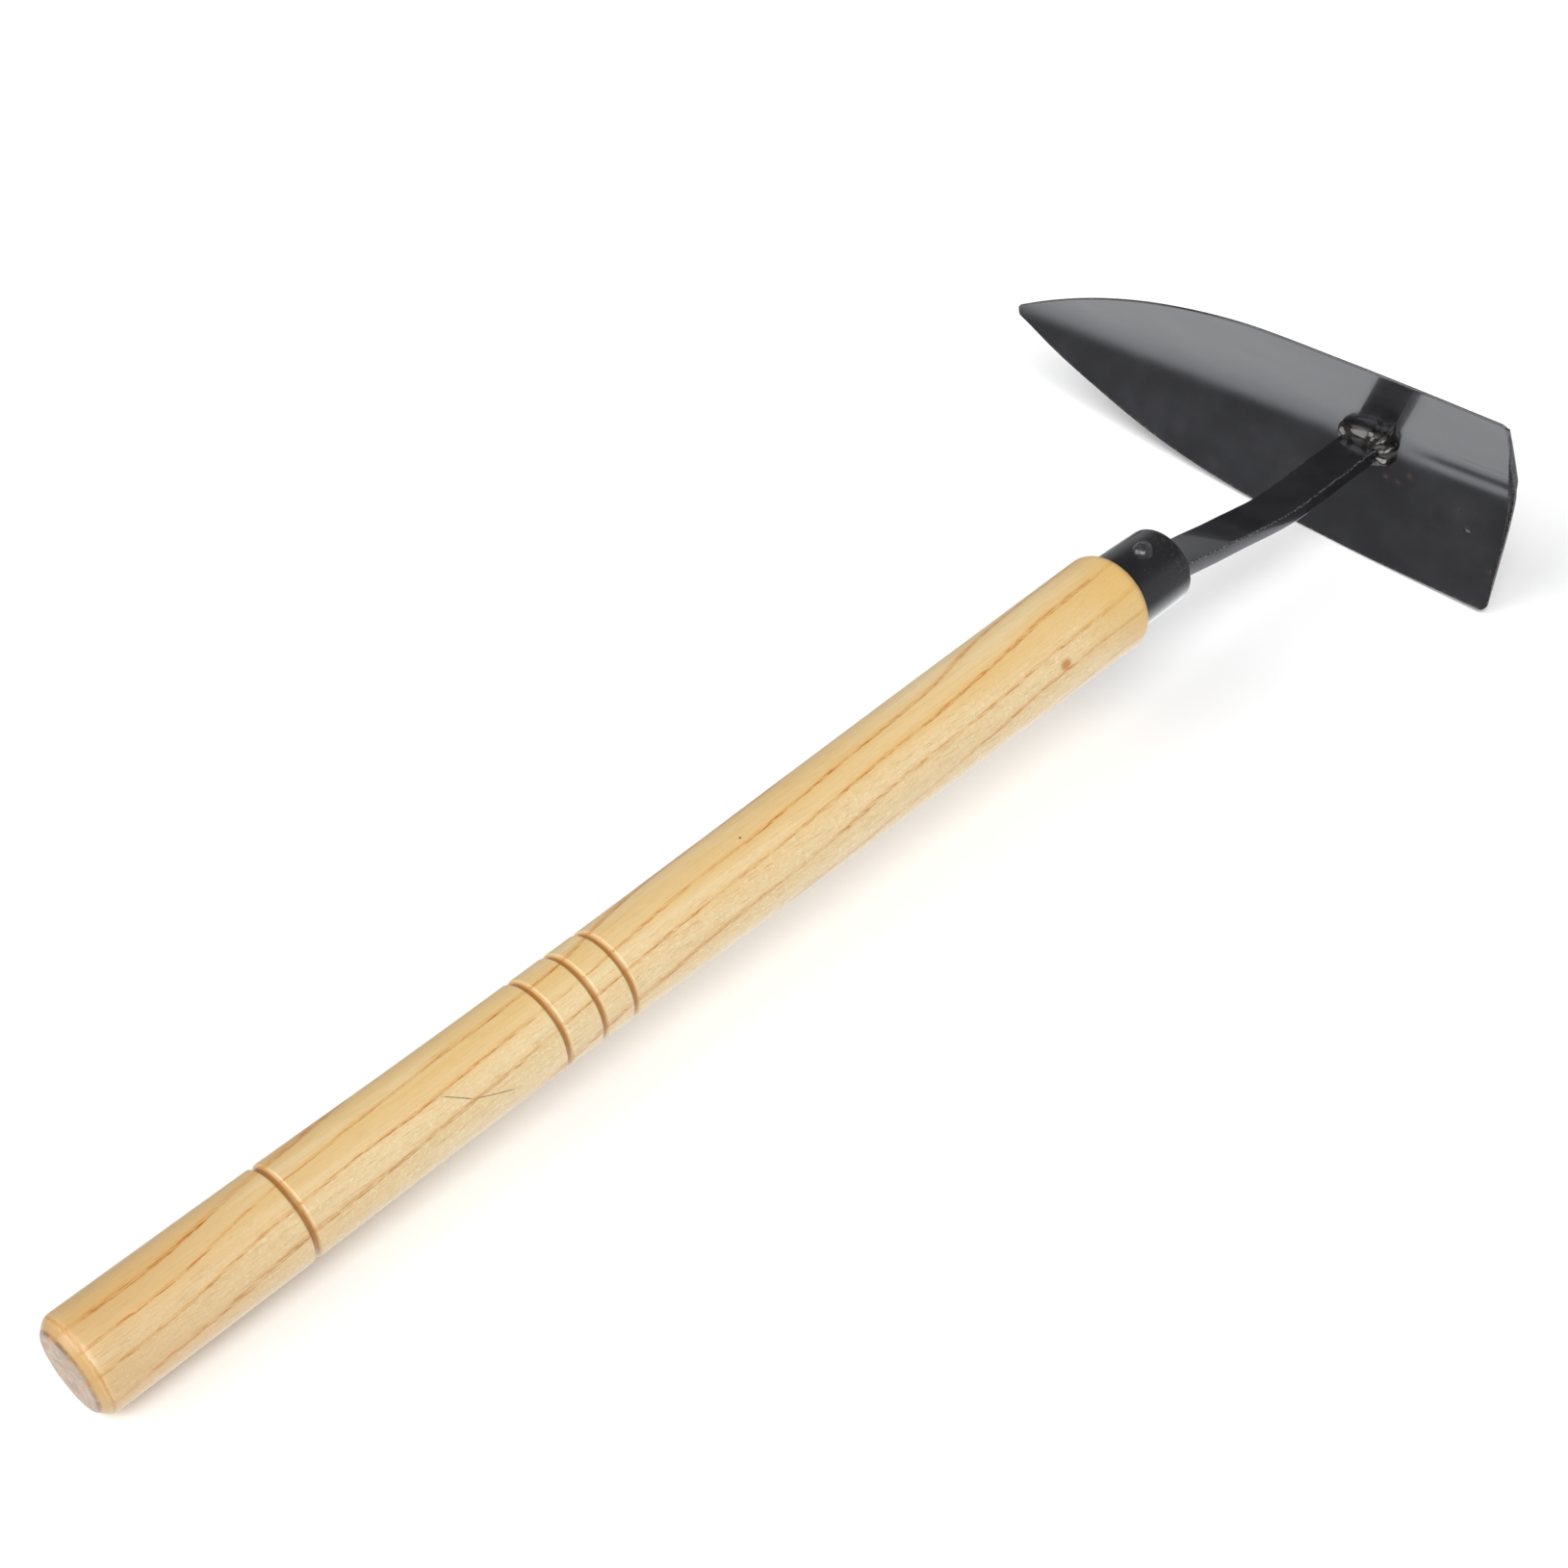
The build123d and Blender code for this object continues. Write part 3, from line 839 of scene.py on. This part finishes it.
def blade_piece():
    """The folded leaf with rounded sheet edges, lofted from the square end to the point."""
    near_end = [SQUARE_END_Y + d for d in (0.0, 0.06, 0.2, 0.45, 0.8, 1.2, 1.7, 2.3, 3.2)]
    near_point = [POINT_Y - d for d in (2.6, 1.8, 1.2, 0.8, 0.5, 0.25, 0.1, 0.02)]
    rows = near_end + list(np.linspace(SQUARE_END_Y + 3.8, POINT_Y - 3.6, BLADE_ROWS)) + near_point
    rings, wear, rust = [], [], []
    for y in rows:
        upper = max(edge_width(UPPER_EDGE, y) - EDGE_ROUND, 0.05)
        lower = max(edge_width(LOWER_EDGE, y) - EDGE_ROUND, 0.05)
        end_gap = min(y - SQUARE_END_Y, POINT_Y - y)
        thick = SHEET / 2 * math.sqrt(max(1 - (1 - min(end_gap / END_ROUND, 1.0)) ** 2, 0.01))
        ring, across = blade_ring(y, upper, lower, thick)
        rings.append(ring)
        for w in across:
            gap = min(upper - w, w + lower, end_gap)
            most = UPPER_WEAR if w > 0 and y < POINT_Y - POINT_WEAR_LENGTH else OTHER_WEAR
            wear.append(most * max(0.0, 1 - max(gap, 0.0) / WEAR_WIDTH))
            stains = [math.hypot(y - a, w - b) / (r + RUST_REACH) for a, b, r, _ in RUSTY_SPOTS]
            rust.append(max(0.0, 1.0 - min(stains)) * RUST_STRENGTH)
    points, faces = loft(rings)
    wear += [1.0, 1.0]
    rust += [0.0, 0.0]
    marks = {"wear": wear, "rust": rust}
    paint = enamel("blade_enamel", BLADE_BLACK, BLADE_WORN, 0.17, 0.75, peel=0.35)
    make_piece("blade_leaf", points, faces, paint, "blade", marks)


# ---------------------------------------------------------------- weld bead
BEAD_RADIUS = 3.1
BEAD_AROUND = 160
BEAD_SEGMENTS = 28
# The cord's middle, from the crease towards the handle, from the axis to the near side, and above
# the bar's middle
BEAD_AHEAD = 2.4
BEAD_NEAR = 0.6
BEAD_UP = 0.4
BEAD_SQUARE = 0.6         # 1 follows an ellipse round the bar, less follows its square section
TOP_FULLER = 0.30
NEAR_FULLER = 0.18
BEAD_FLAT = 0.95
BEAD_SWEEP = 0.30
BEAD_BURIED = 0.4         # how far the cord may go into the blade's hollow face


def hollow_face_x(y, z):
    """Where the blade's hollow face is, straight behind a point."""
    w = (z - CREASE.z) / math.cos(FOLD_LEAN)
    return blade_surface(y, w, -SHEET / 2).x


def weld_piece():
    """Lumpy cord of weld metal round the bar's end, fullest over its top and near side."""
    around, section = BEAD_AROUND, BEAD_SEGMENTS
    centre = Vector((CREASE.x - BEAD_AHEAD, -BEAD_NEAR, neck_centre(CREASE.x).z + BEAD_UP))
    half_w, half_t = BAR_WIDTH / 2, BAR_THICKNESS / 2
    points, faces = [], []
    for i in range(around):
        a = 2 * math.pi * i / around
        c, s = math.cos(a), math.sin(a)
        ring_y = half_w * math.copysign(abs(c) ** BEAD_SQUARE, c)
        ring_z = half_t * math.copysign(abs(s) ** BEAD_SQUARE, s)
        full = 1 + TOP_FULLER * max(s, 0.0) + NEAR_FULLER * max(-c, 0.0)
        beads = 0.035 * math.sin(9 * a + 0.9 * math.sin(2 * a))
        uneven = 0.20 * noise.noise(Vector((2.2 * c, 2.2 * s, 1.0)))
        fat = BEAD_RADIUS * full * (1 + uneven + beads)
        for k in range(section):
            b = 2 * math.pi * k / section
            lump = 1 + 0.12 * noise.noise(Vector((3.0 * c, 3.0 * s, 2 * math.cos(b))))
            y = ring_y + c * fat * lump * math.cos(b)
            z = ring_z + s * fat * lump * math.cos(b)
            p = centre + Vector((-BEAD_FLAT * fat * lump * math.sin(b), y, z))
            behind = hollow_face_x(p.y, p.z)
            p.x = min(p.x - BEAD_SWEEP * abs(p.z - CREASE.z), behind + BEAD_BURIED)
            points.append(p)
    for i in range(around):
        n = (i + 1) % around
        for k in range(section):
            m = (k + 1) % section
            faces.append((i * section + k, i * section + m, n * section + m, n * section + k))
    make_piece("weld_metal", points, faces, weld_metal(), "weld_bead")


# ---------------------------------------------------------------- room, lights and camera
FLOOR_HALF = 4.0
FLOOR_WHITE = (0.97, 0.97, 0.97, 1.0)


def floor_piece():
    """A wide pale floor under the tool, hidden from mirror reflections."""
    corners = [(a * FLOOR_HALF, b * FLOOR_HALF, 0) for a, b in ((-1, -1), (1, -1), (1, 1), (-1, 1))]
    mesh = bpy.data.meshes.new("floor")
    mesh.from_pydata(corners, [], [(0, 1, 2, 3)])
    floor = bpy.data.objects.new("floor", mesh)
    bpy.context.scene.collection.objects.link(floor)
    floor.visible_glossy = False
    g = Graph("floor_paper")
    g.shader.inputs["Base Color"].default_value = FLOOR_WHITE
    g.shader.inputs["Roughness"].default_value = 0.9
    g.shader.inputs["Specular IOR Level"].default_value = 0.0
    mesh.materials.append(g.material)


# The room's brightness is graded by direction: (from, to) along X or Z, then how bright
ROOM_RAMP = (-0.2, 0.8)
TABLE_RAMP = (-0.74, -0.34)
OVERHEAD_RAMP = (0.25, 0.65)
ROOM_NEAR = 0.22
ROOM_FAR = 0.45
OVERHEAD_SHARE = 0.35
TABLE_LIGHT = 1.04
SKY_COLOUR = (0.98, 0.99, 1.0, 1.0)
SUN_WIDTH = math.radians(52.0)
KEY_FROM = (-0.45, -0.60, 0.95)
KEY_STRENGTH = 2.9
FILL_FROM = (-0.80, 0.42, 0.62)
FILL_STRENGTH = 1.9


def soft_sun(name, towards, strength):
    """A very wide, soft distant light that shines from a direction."""
    data = bpy.data.lights.new(name, "SUN")
    data.energy = strength
    data.angle = SUN_WIDTH
    light = bpy.data.objects.new(name, data)
    light.rotation_euler = Vector(towards).to_track_quat("Z", "Y").to_euler()
    bpy.context.scene.collection.objects.link(light)


def ramp(tree, value, start, end, out_start, out_end):
    """World value eased from out_start to out_end while the input goes from start to end."""
    made = tree.nodes.new("ShaderNodeMapRange")
    made.interpolation_type = "SMOOTHSTEP"
    made.inputs["From Min"].default_value = start
    made.inputs["From Max"].default_value = end
    made.inputs["To Min"].default_value = out_start
    made.inputs["To Max"].default_value = out_end
    tree.links.new(value, made.inputs["Value"])
    return made.outputs["Result"]


def studio():
    """Dim room over a bright table top, and two wide soft lights from the butt's side."""
    world = bpy.data.worlds.new("studio")
    world.use_nodes = True
    tree = world.node_tree
    where = tree.nodes.new("ShaderNodeTexCoord")
    split = tree.nodes.new("ShaderNodeSeparateXYZ")
    tree.links.new(where.outputs["Generated"], split.inputs[0])
    room = ramp(tree, split.outputs["X"], *ROOM_RAMP, ROOM_NEAR, ROOM_FAR)
    table = ramp(tree, split.outputs["Z"], *TABLE_RAMP, TABLE_LIGHT, 0.0)
    overhead = ramp(tree, split.outputs["Z"], *OVERHEAD_RAMP, 1.0, OVERHEAD_SHARE)
    dimmed = tree.nodes.new("ShaderNodeMath")
    dimmed.operation = "MULTIPLY"
    tree.links.new(room, dimmed.inputs[0])
    tree.links.new(overhead, dimmed.inputs[1])
    total = tree.nodes.new("ShaderNodeMath")
    total.operation = "ADD"
    tree.links.new(dimmed.outputs[0], total.inputs[0])
    tree.links.new(table, total.inputs[1])
    sky = tree.nodes["Background"]
    sky.inputs["Color"].default_value = SKY_COLOUR
    tree.links.new(total.outputs[0], sky.inputs["Strength"])
    bpy.context.scene.world = world
    soft_sun("key", KEY_FROM, KEY_STRENGTH)
    soft_sun("fill", FILL_FROM, FILL_STRENGTH)
    bpy.context.scene.view_settings.view_transform = "Standard"


CAMERA_EYE = (-104.57, -370.69, 420.21)
CAMERA_RIGHT = (0.70220, -0.70457, -0.10243)
CAMERA_UP = (0.51058, 0.39806, 0.76214)
SENSOR = 36.0
FOCAL_RATIO = 1.67531     # focal length over the sensor's width


def camera():
    """The camera, placed and turned in the tool frame."""
    data = bpy.data.cameras.new("camera")
    data.sensor_width = SENSOR
    data.lens = SENSOR * FOCAL_RATIO
    data.clip_start = 0.01
    data.clip_end = 20.0
    made = bpy.data.objects.new("camera", data)
    right, up = Vector(CAMERA_RIGHT).normalized(), Vector(CAMERA_UP).normalized()
    back = right.cross(up)
    turn = Matrix((right, up, back)).transposed().to_4x4()
    made.matrix_world = TOOL @ Matrix.Translation(Vector(CAMERA_EYE) * MM) @ turn
    bpy.context.scene.collection.objects.link(made)
    bpy.context.scene.camera = made


camera()
studio()
floor_piece()
handle_piece()
ferrule_piece()
rivet_piece()
neck_piece()
blade_piece()
weld_piece()
